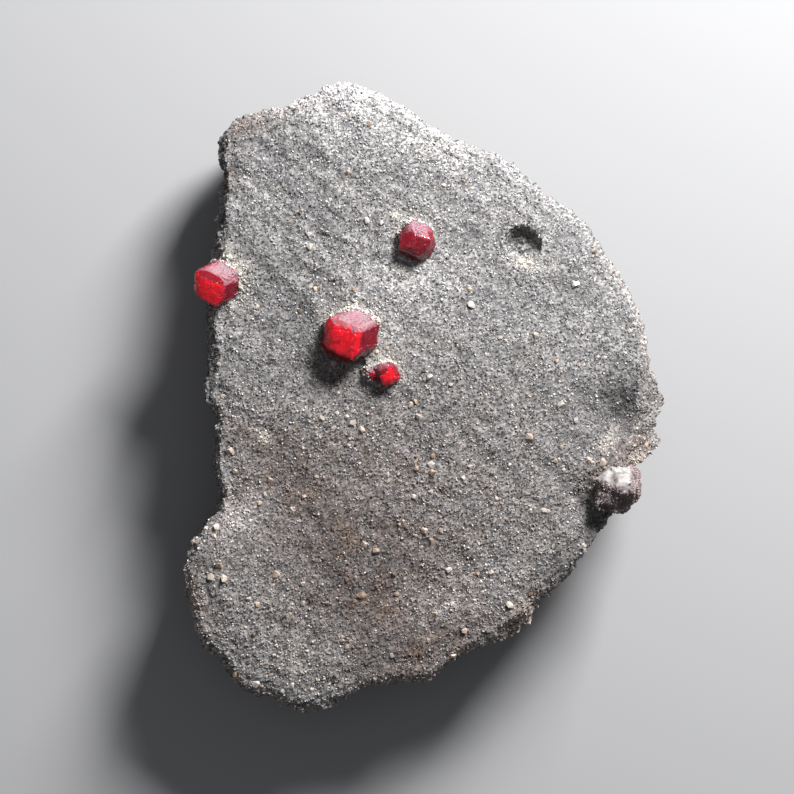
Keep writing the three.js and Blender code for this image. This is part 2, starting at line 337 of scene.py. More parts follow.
def rockBlank(look):
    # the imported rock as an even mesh, finer where the face looks up
    piece = link("rock_slab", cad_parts["matrix"].data.copy())
    addRemesh(piece, look["meshSize"])
    soften = piece.modifiers.new("soften", "SMOOTH")
    soften.factor = 0.5
    soften.iterations = 1
    applyModifiers(piece)
    shape = bmesh.new()
    shape.from_mesh(piece.data)
    shape.normal_update()
    faceUp = {f for f in shape.faces if f.normal.z > 0.45 and f.calc_center_median().z > 0.5 * rockSize.z}
    edges = [e for e in shape.edges if any(f in faceUp for f in e.link_faces)]
    bmesh.ops.subdivide_edges(shape, edges=edges, cuts=1, use_grid_fill=True)
    bmesh.ops.triangulate(shape, faces=[f for f in shape.faces if len(f.verts) > 4])
    shape.to_mesh(piece.data)
    shape.free()
    return piece


def buildRock(look):
    piece = rockBlank(look)
    places = placesOf(piece.data)
    normals = normalsOf(piece.data)
    isUp = ramp(normals[:, 2], 0.2, 0.7)
    isDown = ramp(-normals[:, 2], 0.5, 0.9)
    isSide = np.clip(1 - isUp - isDown, 0, 1) * (1 - spotShare(places, **look["lostSocket"]))

    # slanting folds across the face, lumps and grains
    turn = math.radians(look["foldTurn"])
    run = places[:, 0] * math.cos(turn) + places[:, 1] * math.sin(turn)
    cross = places[:, 1] * math.cos(turn) - places[:, 0] * math.sin(turn)
    foldPlaces = np.stack([run / look["foldLength"], cross / look["foldWidth"], places[:, 2] * 0], 1)
    folds = soft(foldPlaces, 1, 1) + 0.5 * soft(foldPlaces * 2.3, 1, 2)
    lumps = soft(places, look["lumpSize"], 3)
    grains = 0.55 - cells(places, look["grainSize"], 4)
    grains += 0.5 * (rng.random(len(places)) - 0.5)

    # bedding on the sides: each layer stands out or back by its own amount
    wavy = places[:, 2] + look["layerWave"] * soft(places, look["layerWaveLength"], 5)
    layer = wavy / look["layerSize"]
    steps = soft(np.stack([run * 60, cross * 60, np.floor(layer) * 7.3], 1), 1, 6)
    notch = np.abs(layer - np.floor(layer) - 0.5) * 2
    bedding = steps * 1.2 - 0.5 * ramp(notch, 0.7, 1)
    chips = splinters(places, look["chipSize"], 7) + 0.5 * splinters(places, 0.4 * look["chipSize"], 8)

    foldShare = look["foldShare"] + look["foldMore"] * spotShare(places, **look["foldPlace"])
    rise = isUp * foldShare * look["foldHeight"] * folds
    rise += (1 - 0.5 * isDown) * look["lumpHeight"] * lumps
    rise += look["grainHeight"] * grains * (0.6 + 0.4 * isUp)
    rise += isSide * (look["layerDepth"] * bedding + look["chipDepth"] * 0.5 * chips)
    places += normals * rise[:, None]

    # the shoulder goes out to a ragged edge, but not round the empty socket
    away = np.stack([normals[:, 0], normals[:, 1], 0 * rise], 1)
    away /= np.maximum(np.linalg.norm(away, axis=1), 1e-6)[:, None]
    shoulder = ramp(normals[:, 2], 0.1, 0.35) * (1 - ramp(normals[:, 2], 0.82, 0.97))
    shoulder *= 1 - spotShare(places, **look["lostSocket"])
    shoulder *= nearTop(places)
    size = look["splinterSize"]
    ragged = splinters(places, size, 10) + 0.6 * splinters(places, 0.5 * size, 11)
    rimOut = shoulder * look["rimOut"]
    rimOut += (isSide * (1 - isDown) * 0.6 + 0.5 * shoulder) * look["rimSplinters"] * ragged
    places += away * rimOut[:, None]
    places[:, 2] += shoulder * look["rimUp"]

    socket = spotShare(places, **look["socketFloor"]) * (places[:, 2] > 0.5 * rockSize.z)
    face = look["faceHeight"] * rockSize.z
    places[:, 2] += socket * look["socketFill"] * np.clip(face - places[:, 2], 0, None)
    uneven = soft(places, 1 * mm, 12) + 0.8 * soft(places, 0.45 * mm, 13)
    places += normals * (socket * look["socketLumps"] * uneven)[:, None]

    # the rock closes in round the crystals
    reach = look["gripReach"]
    for node, tree in crystalTrees.items():
        away = crystalDistance(places, node, reach)
        for i in np.flatnonzero((away > -0.1 * mm) & (away < reach)):
            hit = np.array(tree.find_nearest(Vector(places[i]))[0])
            share = 1 - max(away[i], 0) / reach
            places[i] += (hit - places[i]) * min(1, look["grip"] * share / max(abs(away[i]), 1e-6))

    # the back rests on its high places
    hollow = look["backHollow"] * np.clip(0.35 + soft(places, look["backSize"], 9), 0, 1)
    places[:, 2] += isDown * hollow
    places[:, 2] = np.maximum(places[:, 2], 0)
    movePlaces(piece.data, places)
    # how low each place lies, which the material darkens as painted shade
    hollow = ramp(-(folds * 0.35 + lumps * 0.6 + grains * 0.9), -0.5, 0.9)
    keepNotes(piece.data, {"hollow": hollow, **colourNotes(places, normals)})
    print("rock slab:", sum(len(p.vertices) - 2 for p in piece.data.polygons), "triangles")
    return piece


def grainShape(corners, flatness, seed):
    # a small convex chip with about this many corners
    draw = random.Random(seed)
    shape = bmesh.new()
    for i in range(corners):
        # corners spread evenly over a ball, then pushed about
        height = 1 - 2 * (i + 0.5) / corners
        angle = i * 2.4
        level = math.sqrt(1 - height * height)
        direction = Vector((level * math.cos(angle), level * math.sin(angle), height))
        direction += Vector(draw.uniform(-0.3, 0.3) for _ in range(3))
        direction.normalize()
        direction.z *= flatness
        shape.verts.new(direction * draw.uniform(0.42, 0.58))
    bmesh.ops.convex_hull(shape, input=shape.verts)
    bmesh.ops.delete(shape, geom=[v for v in shape.verts if not v.link_faces], context="VERTS")
    bmesh.ops.triangulate(shape, faces=shape.faces)
    shape.verts.index_update()
    corners = np.array([v.co for v in shape.verts])
    faces = np.array([[v.index for v in f.verts] for f in shape.faces])
    shape.free()
    return corners, faces


def leaningTurns(normals, tilt):
    # turns that stand each grain on its normal, spun freely and leaning by up to tilt
    count = len(normals)
    side = np.where(np.abs(normals[:, :1]) < 0.8, [[1.0, 0, 0]], [[0, 1.0, 0]])
    first = np.cross(normals, side)
    first /= np.linalg.norm(first, axis=1)[:, None]
    second = np.cross(normals, first)
    lean = rng.uniform(0, tilt, count)
    way, spin = rng.uniform(0, 6.283, (2, count))
    flat = first * np.cos(way)[:, None] + second * np.sin(way)[:, None]
    up = normals * np.cos(lean)[:, None] + flat * np.sin(lean)[:, None]
    along = flat * np.cos(lean)[:, None] - normals * np.sin(lean)[:, None]
    across = np.cross(up, along)
    x = along * np.cos(spin)[:, None] + across * np.sin(spin)[:, None]
    y = np.cross(up, x)
    return np.stack([x, y, up], 2)


def skinPoints(piece, count, weightOf):
    # random places on the piece's skin with their normals, thicker where weightOf is higher
    mesh = piece.data
    mesh.calc_loop_triangles()
    corners = np.empty(len(mesh.loop_triangles) * 3, np.int32)
    mesh.loop_triangles.foreach_get("vertices", corners)
    corners = corners.reshape(-1, 3)
    places = placesOf(mesh)
    a, b, c = (places[corners[:, i]] for i in range(3))
    cross = np.cross(b - a, c - a)
    area = np.linalg.norm(cross, axis=1) / 2
    normal = cross / np.maximum(2 * area, 1e-15)[:, None]
    weight = area * np.clip(weightOf((a + b + c) / 3, normal), 0, None)
    picked = rng.choice(len(area), count, p=weight / weight.sum())
    u, v = rng.random(count), rng.random(count)
    over = u + v > 1
    u[over], v[over] = 1 - u[over], 1 - v[over]
    at = a[picked] + (b - a)[picked] * u[:, None] + (c - a)[picked] * v[:, None]
    return at, normal[picked]


# what a grain is like unless its own look says otherwise
plainGrain = dict(kinds=7, spread=0.3, corners=6, flatness=0.7, tilt=0.9, lift=0.04)


def joinGrains(name, at, normals, look):
    # one mesh of many small chips, in a few shapes
    look = {**plainGrain, **look}
    shapes = [grainShape(look["corners"], look["flatness"], look["seed"] + i) for i in range(look["kinds"])]
    size = look["size"] * np.exp(np.clip(rng.normal(0, look["spread"], len(at)), -0.7, 0.7))
    turned = leaningTurns(normals, look["tilt"])
    centres = at + normals * (size * look["lift"])[:, None]
    allPlaces, allFaces, owners = [], [], []
    start = 0
    for kind, (corners, faces) in enumerate(shapes):
        mine = np.arange(kind, len(at), len(shapes))
        places = np.einsum("nij,kj->nki", turned[mine], corners) * size[mine][:, None, None]
        places += centres[mine][:, None]
        allPlaces.append(places.reshape(-1, 3))
        first = start + np.arange(len(mine)) * len(corners)
        allFaces.append((faces[None] + first[:, None, None]).reshape(-1, 3))
        owners.append(np.repeat(mine, len(corners)))
        start += len(mine) * len(corners)
    places, owners = np.concatenate(allPlaces), np.concatenate(owners)
    places[:, 2] = np.maximum(places[:, 2], 0)
    mesh = bpy.data.meshes.new(name)
    mesh.from_pydata(places, [], np.concatenate(allFaces))
    notes = {"tone": rng.random(len(at)), **colourNotes(at, normals)}
    keepNotes(mesh, {name: values[owners] for name, values in notes.items()})
    print(name + ":", len(mesh.polygons), "triangles")
    return link(name, mesh)


def scatterGrains(name, piece, look):
    at, normals = skinPoints(piece, look["count"], look["where"])
    return joinGrains(name, at, normals, look)


def newMaterial(name):
    material = bpy.data.materials.new(name)
    material.use_nodes = True
    tree = material.node_tree
    tree.nodes.clear()
    output = tree.nodes.new("ShaderNodeOutputMaterial")
    shader = tree.nodes.new("ShaderNodeBsdfPrincipled")
    tree.links.new(shader.outputs["BSDF"], output.inputs["Surface"])
    return material, tree, shader


def feed(tree, sockets, values):
    # an output of another node is linked in, a plain value is typed in
    for socket, value in zip(sockets, values):
        if isinstance(value, bpy.types.NodeSocket):
            tree.links.new(value, socket)
        else:
            socket.default_value = value


def addNode(tree, kind, settings=None, **inputs):
    node = tree.nodes.new(kind)
    for key, value in (settings or {}).items():
        setattr(node, key, value)
    feed(tree, [node.inputs[key] for key in inputs], inputs.values())
    return node


def mixColour(tree, share, first, second, blend="MIX"):
    node = addNode(tree, "ShaderNodeMix", {"data_type": "RGBA", "blend_type": blend})
    feed(tree, (node.inputs[0], node.inputs[6], node.inputs[7]), (share, first, second))
    return node.outputs[2]


def tinted(tree, colour, tint):
    return mixColour(tree, 1.0, colour, tint, "MULTIPLY")


def times(tree, first, second):
    node = addNode(tree, "ShaderNodeMath", {"operation": "MULTIPLY"})
    feed(tree, node.inputs, (first, second))
    return node.outputs[0]


def colourRamp(tree, value, stops):
    node = addNode(tree, "ShaderNodeValToRGB", None, Fac=value)
    while len(node.color_ramp.elements) < len(stops):
        node.color_ramp.elements.new(0.5)
    for element, (position, colour) in zip(node.color_ramp.elements, stops):
        element.position = position
        element.color = (*colour, 1)
    return node.outputs["Color"]


def remap(tree, value, start, end, low=0.0, high=1.0, rise="SMOOTHSTEP"):
    node = addNode(tree, "ShaderNodeMapRange", {"interpolation_type": rise})
    feed(tree, node.inputs, (value, start, end, low, high))
    return node.outputs[0]


def noteOf(tree, name):
    return addNode(tree, "ShaderNodeAttribute", {"attribute_name": name}).outputs["Fac"]


def objectPlaces(tree):
    return addNode(tree, "ShaderNodeTexCoord").outputs["Object"]


def noiseAt(tree, size, detail=2.0, roughness=0.5, output="Fac"):
    node = addNode(tree, "ShaderNodeTexNoise", None, Vector=objectPlaces(tree), Scale=1 / size,
                   Detail=detail, Roughness=roughness)
    return node.outputs[output]


def addBump(tree, shader, height, strength, depth):
    bump = addNode(tree, "ShaderNodeBump", None, Height=height, Strength=strength, Distance=depth)
    tree.links.new(bump.outputs["Normal"], shader.inputs["Normal"])


stainColours = dict(
    rust=(0.7, 0.44, 0.3, 1), mauve=(0.73, 0.54, 0.49, 1),
    cream=(0.27, 0.25, 0.225, 1), dust=(1.62, 1.56, 1.47, 1),
    darkest=0.12, lightest=1.88,  # how far the patches darken or lighten the rock
)


def weatheredAndPaintedLight(tree, colour, strength=1.0):
    # light and dark patches, partly painted light and shade, the rusty stain and the pale rims over any
    # rock colour
    colours = stainColours
    light = remap(tree, noteOf(tree, "light"), 0, 1, colours["darkest"], colours["lightest"], "LINEAR")
    shade = tinted(tree, colour, light)
    patch = noiseAt(tree, 3.2 * mm, 4, 0.65)
    speck = noiseAt(tree, 0.7 * mm, 2, 0.6)
    rust = times(tree, noteOf(tree, "stain"), remap(tree, patch, 0.3, 0.62, 0.55, 1.0))
    rust = times(tree, rust, remap(tree, speck, 0.25, 0.6, 0.65, 1.0))
    redder = remap(tree, noiseAt(tree, 5 * mm, 3), 0.42, 0.6)
    tint = mixColour(tree, redder, colours["mauve"], colours["rust"])
    shade = mixColour(tree, times(tree, rust, strength), shade, tinted(tree, shade, tint))
    cream = times(tree, noteOf(tree, "cream"), remap(tree, speck, 0.25, 0.6, 0.5, 1.0))
    dusted = tinted(tree, mixColour(tree, 0.25, shade, colours["cream"]), colours["dust"])
    return mixColour(tree, cream, shade, dusted)


rockFinish = dict(
    dark=(0.038, 0.037, 0.038), grey=(0.104, 0.101, 0.101), pale=(0.188, 0.184, 0.181),
    grainSize=0.36 * mm, roughness=0.8, bump=0.6, bumpDepth=0.1 * mm,
)


def rockMaterial(finish):
    material, tree, shader = newMaterial("sugary_rock")
    grains = addNode(tree, "ShaderNodeTexVoronoi", None, Vector=objectPlaces(tree),
                     Scale=1 / finish["grainSize"])
    cell = addNode(tree, "ShaderNodeSeparateColor", None, Color=grains.outputs["Color"]).outputs[0]
    tone = colourRamp(tree, cell, [(0.12, finish["dark"]), (0.3, finish["grey"]),
                                   (0.62, finish["grey"]), (0.84, finish["pale"])])
    broad = colourRamp(tree, noiseAt(tree, 9 * mm, 5, 0.6), [
        (0.3, (0.8, 0.8, 0.82)), (0.7, (1.12, 1.1, 1.08))])
    fine = remap(tree, noiseAt(tree, 0.16 * mm), 0.3, 0.7, 0.7, 1.25, "LINEAR")
    # painted shade: darker in the low places of the folds, lumps and grains, with a painted highlight on
    # their high places
    paintedHollowShade = colourRamp(tree, noteOf(tree, "hollow"), [
        (0.0, (1.15, 1.15, 1.15)), (1.0, (0.55, 0.54, 0.53))])
    for layer in (broad, fine, paintedHollowShade):
        tone = tinted(tree, tone, layer)
    tree.links.new(weatheredAndPaintedLight(tree, tone), shader.inputs["Base Color"])
    addBump(tree, shader, noiseAt(tree, 0.2 * mm, 3, 0.7), finish["bump"], finish["bumpDepth"])
    shader.inputs["Roughness"].default_value = finish["roughness"]
    return material


# each grain draws a number from 0 to 1, which picks its tone between the stops
grainFinishes = {
    "pale": dict(roughness=0.48, stops=[
        (0.0, (0.115, 0.112, 0.112)), (0.55, (0.2, 0.196, 0.193)), (0.95, (0.33, 0.323, 0.313)),
        (1.0, (0.27, 0.19, 0.12))]),
    "grey": dict(roughness=0.48, stops=[
        (0.0, (0.04, 0.039, 0.04)), (0.5, (0.095, 0.093, 0.094)), (1.0, (0.15, 0.146, 0.142))]),
    "dark": dict(roughness=0.4, stops=[
        (0.0, (0.012, 0.012, 0.013)), (0.7, (0.034, 0.034, 0.034)), (1.0, (0.062, 0.045, 0.034))]),
    "rusty": dict(roughness=0.6, stops=[
        (0.0, (0.05, 0.035, 0.024)), (0.5, (0.12, 0.078, 0.05)), (1.0, (0.22, 0.155, 0.1))]),
    "lap": dict(roughness=0.5, stops=[
        (0.0, (0.085, 0.083, 0.082)), (0.5, (0.18, 0.174, 0.17)), (0.9, (0.29, 0.28, 0.27)),
        (1.0, (0.25, 0.19, 0.13))]),
    "mauve": dict(roughness=0.6, stops=[
        (0.0, (0.032, 0.024, 0.024)), (0.5, (0.11, 0.084, 0.084)), (0.85, (0.15, 0.122, 0.124)),
        (1.0, (0.24, 0.215, 0.21))]),
    "knot": dict(roughness=0.55, stops=[
        (0.0, (0.22, 0.195, 0.17)), (0.5, (0.27, 0.25, 0.23)), (0.85, (0.22, 0.165, 0.12)),
        (1.0, (0.15, 0.1, 0.065))]),
}


def grainMaterial(kind):
    finish = grainFinishes[kind]
    material, tree, shader = newMaterial(kind + "_grains")
    tone = colourRamp(tree, noteOf(tree, "tone"), finish["stops"])
    fine = remap(tree, noiseAt(tree, 0.18 * mm), 0.3, 0.7, 0.75, 1.15, "LINEAR")
    colour = weatheredAndPaintedLight(tree, tinted(tree, tone, fine), 0.85)
    tree.links.new(colour, shader.inputs["Base Color"])
    shader.inputs["Roughness"].default_value = finish["roughness"]
    return material


# a side is a compass direction: of the leaning top, the etched skin with its painted sheen, the painted
# glow or the rock's cover
garnetLooks = {
    "large_garnet": dict(
        meshSize=0.11 * mm, cutEdges=0.8 * mm, steps=0.14 * mm, stepSize=2.2 * mm, seed=11,
        leanSide=205, lean=0.45 * mm, frostSide=66, frostFrom=0.7, flakes=420,
        paintedGlowSide=218, paintedGlowLift=0.9, paintedGlow=1.0, veils=5, veilSize=2.3 * mm,
        coverSide=85, coverFrom=0.8, cover=420),
    "upper_garnet": dict(
        meshSize=0.09 * mm, cutEdges=0.6 * mm, steps=0.09 * mm, stepSize=1.6 * mm, seed=12,
        leanSide=250, lean=0.2 * mm, frostSide=88, frostFrom=0.8, flakes=420,
        paintedGlowSide=235, paintedGlowLift=0.92, paintedGlow=0.08, veils=4, veilSize=1.6 * mm,
        coverSide=95, coverFrom=0.8, cover=260),
    "edge_garnet": dict(
        meshSize=0.1 * mm, cutEdges=0.55 * mm, steps=0.11 * mm, stepSize=1.9 * mm, seed=13,
        leanSide=196, lean=1.25 * mm, frostSide=48, frostFrom=0.76, flakes=480,
        paintedGlowSide=245, paintedGlowLift=0.62, paintedGlow=1.0, veils=5, veilSize=1.9 * mm,
        coverSide=35, coverFrom=0.82, cover=260),
    "small_garnets": dict(
        meshSize=0.07 * mm, cutEdges=0.28 * mm, steps=0.06 * mm, stepSize=0.9 * mm, seed=14,
        leanSide=0, lean=0.0, frostSide=110, frostFrom=0.8, flakes=300,
        paintedGlowSide=290, paintedGlowLift=0.7, paintedGlow=1.0, veils=3, veilSize=0.8 * mm,
        coverSide=150, coverFrom=0.62, cover=260),
}
crystalFit = dict(
    growth=0.08 * mm, wear=0.11 * mm, cutShare=0.6, swell=0.1 * mm,
    chipDepth=0.2 * mm, chipReach=0.22 * mm, etching=0.012 * mm, frostEtching=0.03 * mm,
)


def crystalBase(node, look):
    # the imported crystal, grown to fill its socket, with worn edges, as an even closed mesh
    shape = bmesh.new()
    shape.from_mesh(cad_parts[node].data)
    bmesh.ops.remove_doubles(shape, verts=shape.verts, dist=1e-6)
    bmesh.ops.dissolve_limit(shape, angle_limit=math.radians(1), verts=shape.verts, edges=shape.edges)
    shape.normal_update()
    for v in shape.verts:
        v.co += v.normal * crystalFit["growth"]
    # some of the edges, picked at random, are cut by narrow growth faces
    draw = random.Random(look["seed"])
    sharp = [e for e in shape.edges if len(e.link_faces) == 2 and e.calc_face_angle() > 0.5]
    draw.shuffle(sharp)
    bmesh.ops.bevel(shape, geom=sharp[:int(crystalFit["cutShare"] * len(sharp))], offset=look["cutEdges"],
                    segments=1, affect="EDGES", clamp_overlap=True)
    shape.normal_update()
    sharp = [e for e in shape.edges if len(e.link_faces) == 2 and e.calc_face_angle() > 0.1]
    ridge = [e.verts[0].co.lerp(e.verts[1].co, t) for e in sharp for t in np.linspace(0, 1, 14)]
    bmesh.ops.bevel(shape, geom=sharp, offset=crystalFit["wear"], segments=1, affect="EDGES")
    bmesh.ops.triangulate(shape, faces=shape.faces)
    mesh = bpy.data.meshes.new(node)
    shape.to_mesh(mesh)
    shape.free()
    piece = link(node + "_crystal", mesh)
    addRemesh(piece, look["meshSize"], True)
    applyModifiers(piece)
    return piece, ridge


def tiltedCells(places, size, seed):
    # small growth faces, each leaning its own way
    shift = Vector((seed * 1.3, seed * 2.9, seed * 0.7))
    rise = []
    for p in places:
        at = Vector(p) / size + shift
        centre = noise.voronoi(at)[1][0]
        rise.append((at - centre).dot(noise.cell_vector(centre * 19.3) * 2 - Vector((1, 1, 1))))
    return np.array(rise)


def nearRidge(places, ridge, reach):
    # 1 on the crystal's edges, falling to 0 at reach from them
    tree = pointTree(ridge)
    away = np.array([tree.find(Vector(p))[2] for p in places])
    return 1 - ramp(away, 0, reach)


def frostAt(places, normals, node, look):
    # the pale etched skin, its paleness partly a painted sheen of the lamp: on the faces, and most on the
    # far side, towards one compass side
    low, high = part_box(node)
    offset = (places - np.array(middleOf(node))) @ compassWay(look["frostSide"]) / ((high.x - low.x) / 2)
    ragged = 0.14 * soft(places, 1.2 * mm, look["seed"]) + 0.1 * soft(places, 0.45 * mm, look["seed"] + 1)
    facing = normals @ compassWay(look["frostSide"], 0.75, 0.66)
    return facing + 0.38 * offset + ragged - look["frostFrom"]


def paintedGlowAt(normals, look):
    # how brightly each face is painted to glow, a painted glow that stands in for light passed through the
    # crystal: most on the side away from the lamp
    lift = look["paintedGlowLift"]
    towards = compassWay(look["paintedGlowSide"], math.sqrt(1 - lift ** 2), lift)
    return look["paintedGlow"] * ramp(normals @ towards, 0.42, 0.9)


def buildGarnet(node, look):
    piece, ridge = crystalBase(node, look)
    places = placesOf(piece.data)
    normals = normalsOf(piece.data)
    edge = nearRidge(places, ridge, crystalFit["chipReach"])
    # the top leans out over one side
    low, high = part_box(node)
    middle = middleOf(node)
    width = high.x - low.x
    side = compassWay(look["leanSide"])
    offset = (places[:, 0] - middle.x) * side[0] + (places[:, 1] - middle.y) * side[1]
    share = ramp(offset, -0.2 * width, 0.4 * width) * ramp(places[:, 2], middle.z, high.z)
    places += share[:, None] * (side * look["lean"])

    chips = edge * ramp(soft(places, 0.6 * mm, look["seed"]), 0.1, 0.5)
    reach = frostAt(places, normals, node, look)
    frost = ramp(reach, 0, 0.16)
    etching = soft(places, 0.25 * mm, look["seed"] + 2)
    rise = -crystalFit["chipDepth"] * chips
    rise += (crystalFit["etching"] + crystalFit["frostEtching"] * frost) * etching
    rise += crystalFit["swell"] * soft(places, 1.6 * mm, look["seed"] + 4)
    rise += look["steps"] * tiltedCells(places, look["stepSize"], look["seed"] + 5)
    places += normals * rise[:, None]
    movePlaces(piece.data, places)
    keepNotes(piece.data, {"edge": edge, "chip": chips, "frost": frost, "bloomAndSheen": ramp(reach, 0.12, 0.75),
                           "paintedGlow": paintedGlowAt(normals, look)})
    print(node + ":", len(piece.data.polygons), "faces")
    return piece


garnetFinish = dict(
    # bright is the red of the painted glow
    bright=(1.0, 0.003, 0.02, 1), deep=(0.17, 0.002, 0.012, 1), crack=(0.7, 0.1, 0.14, 1),
    etched=(0.23, 0.018, 0.045, 1), bloomAndSheen=(0.22, 0.115, 0.14, 1),
    ior=1.79, specular=0.2, clear=0.5, absorbs=(0.997, 0.2, 0.3, 1), density=1400,
    glow=3.2 * mm, glowColour=(1.0, 0.05, 0.08),
    cleanRoughness=0.16, frostedRoughness=0.65, bump=0.7, bumpDepth=0.06 * mm,
    crackSize=1.7 * mm, crackBend=1.6 * mm, bendSize=0.9 * mm,
)


def garnetMaterial(finish):
    material, tree, shader = newMaterial("garnet")
    cloud = remap(tree, noiseAt(tree, 0.7 * mm, 5, 0.75), 0.36, 0.64, 0.45, 1.2)
    # painted glow: faces turned away from the lamp are painted bright red, the rest deep red
    paintedGlow = times(tree, noteOf(tree, "paintedGlow"), cloud)
    body = mixColour(tree, paintedGlow, finish["deep"], finish["bright"])
    # bent cracks that catch the light
    bend = noiseAt(tree, finish["bendSize"], 3, 0.5, "Color")
    warped = addNode(tree, "ShaderNodeVectorMath", {"operation": "MULTIPLY_ADD"})
    feed(tree, warped.inputs, (bend, (finish["crackBend"],) * 3, objectPlaces(tree)))
    crack = addNode(tree, "ShaderNodeTexVoronoi", {"feature": "DISTANCE_TO_EDGE"}, Vector=warped.outputs[0],
                    Scale=1 / finish["crackSize"]).outputs["Distance"]
    shown = remap(tree, noiseAt(tree, 1.5 * mm), 0.4, 0.65)
    crack = times(tree, remap(tree, crack, 0.0, 0.05, 0.5, 0.0), shown)
    body = mixColour(tree, crack, body, finish["crack"])
    body = mixColour(tree, times(tree, noteOf(tree, "edge"), 0.35), body, finish["etched"])
    # the etched skin's pale mauve is partly painted sheen, on the faces towards the lamp
    speck = remap(tree, noiseAt(tree, 0.5 * mm, 3, 0.7), 0.3, 0.65, 0.35, 1.0)
    skin = mixColour(tree, times(tree, noteOf(tree, "bloomAndSheen"), speck), finish["etched"], finish["bloomAndSheen"])
    frost = noteOf(tree, "frost")
    tree.links.new(mixColour(tree, frost, body, skin), shader.inputs["Base Color"])
    shader.inputs["IOR"].default_value = finish["ior"]
    shader.inputs["Specular IOR Level"].default_value = finish["specular"]
    shader.inputs["Transmission Weight"].default_value = finish["clear"]
    shader.inputs["Subsurface Weight"].default_value = 1.0
    shader.inputs["Subsurface Radius"].default_value = finish["glowColour"]
    shader.inputs["Subsurface Scale"].default_value = finish["glow"]
    worn = addNode(tree, "ShaderNodeMath", {"operation": "MAXIMUM"})
    feed(tree, worn.inputs, (frost, times(tree, noteOf(tree, "chip"), 0.6)))
    roughness = remap(tree, worn.outputs[0], 0, 1, finish["cleanRoughness"], finish["frostedRoughness"])
    tree.links.new(roughness, shader.inputs["Roughness"])
    addBump(tree, shader, noiseAt(tree, 0.4 * mm, 4, 0.65), finish["bump"], finish["bumpDepth"])
    absorption = addNode(tree, "ShaderNodeVolumeAbsorption")
    absorption.inputs["Color"].default_value = finish["absorbs"]
    absorption.inputs["Density"].default_value = finish["density"]
    tree.links.new(absorption.outputs["Volume"], tree.nodes["Material Output"].inputs["Volume"])
    return material


veilFlecks = dict(count=130, small=0.05 * mm, large=0.2 * mm, scatter=0.12 * mm, depth=0.35 * mm)


def buildVeils(node, look):
    # healed cracks sealed in the crystal: curved sheets of tiny bright flecks
    draw = random.Random(look["seed"])
    low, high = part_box(node)
    middle, half = (low + high) / 2, (high - low) / 2
    corners, faces = grainShape(6, 0.25, look["seed"])
    allPlaces, allFaces = [], []
    start = 0
    for _ in range(look["veils"]):
        centre = middle + Vector(draw.uniform(-0.45, 0.45) * h for h in half)
        turn = Matrix.Rotation(draw.uniform(0, 6.28), 3, "Z")
        turn = turn @ Matrix.Rotation(draw.uniform(0.2, 1.3), 3, "X")
        bend = draw.uniform(-0.12, 0.12) / mm
        for _ in range(veilFlecks["count"]):
            away = look["veilSize"] * math.sqrt(draw.random())
            angle = draw.uniform(0, 6.28)
            flat = Vector((away * math.cos(angle), away * math.sin(angle), bend * away * away))
            flat.z += veilFlecks["scatter"] * draw.gauss(0, 1)
            place = centre + turn @ flat
            if crystalDistance(np.array([place]), node, 5 * mm)[0] > -veilFlecks["depth"]:
                continue
            size = draw.uniform(veilFlecks["small"], veilFlecks["large"])
            size *= 1 if draw.random() < 0.85 else 2
            tilt = turn @ Matrix.Rotation(draw.uniform(0, 6.28), 3, "Z")
            allPlaces.append(corners @ np.array(tilt).T * size + np.array(place))
            allFaces.append(faces + start)
            start += len(corners)
    mesh = bpy.data.meshes.new(node + "_veils")
    mesh.from_pydata(np.concatenate(allPlaces), [], np.concatenate(allFaces))
    print(node + " veils:", len(allPlaces), "flecks")
    return link(node + "_veils", mesh)


def veilMaterial():
    material, tree, shader = newMaterial("sealed_veil")
    colour = colourRamp(tree, noiseAt(tree, 0.5 * mm), [(0.3, (0.9, 0.35, 0.35)), (0.7, (1.0, 0.75, 0.72))])
    tree.links.new(colour, shader.inputs["Base Color"])
    shader.inputs["Roughness"].default_value = 0.3
    return material


def buildFrostFlakes(node, crystal, look):
    # pale mica scales that still cling to the etched faces
    def onFrost(places, normals):
        outside = np.where(normals[:, 2] > -0.2, 1.0, 0.0)
        return outside * ramp(frostAt(places, normals, node, look), 0.05, 0.5)

    flakes = dict(count=look["flakes"], size=0.17 * mm, spread=0.4, flatness=0.2, tilt=0.3, lift=0.0,
                  seed=look["seed"] + 500, where=onFrost)
    return scatterGrains(node + "_frost", crystal, flakes)


def buildCover(node, crystal, look):
    # the rock still laps over one side of the crystal
    middle = np.array(middleOf(node))
    low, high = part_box(node)
    half = np.array((high - low) / 2)
    side = math.radians(look["coverSide"])

    def onLap(places, normals):
        away = (places - middle)[:, :2]
        share = np.linalg.norm(away / half[:2], axis=1)
        facing = np.cos(np.arctan2(away[:, 1], away[:, 0]) - side)
        ragged = 0.12 * soft(places, 1.2 * mm, look["seed"] + 3)
        reach = look["coverFrom"] + 0.25 * (1 - facing) + ragged
        return ramp(share, reach, reach + 0.12) * (facing > -0.3) * (normals[:, 2] > -0.3)

    lap = dict(count=look["cover"], size=0.34 * mm, spread=0.35, corners=7, tilt=1.2, lift=0.15,
               seed=look["seed"] + 700, where=onLap)
    return scatterGrains(node + "_lap", crystal, lap)


def frostMaterial():
    material, tree, shader = newMaterial("pale_mica_scales")
    colour = colourRamp(tree, noteOf(tree, "tone"), [
        (0.0, (0.09, 0.01, 0.022)), (0.5, (0.13, 0.045, 0.065)), (1.0, (0.21, 0.14, 0.16))])
    tree.links.new(colour, shader.inputs["Base Color"])
    shader.inputs["Roughness"].default_value = 0.7
    return material


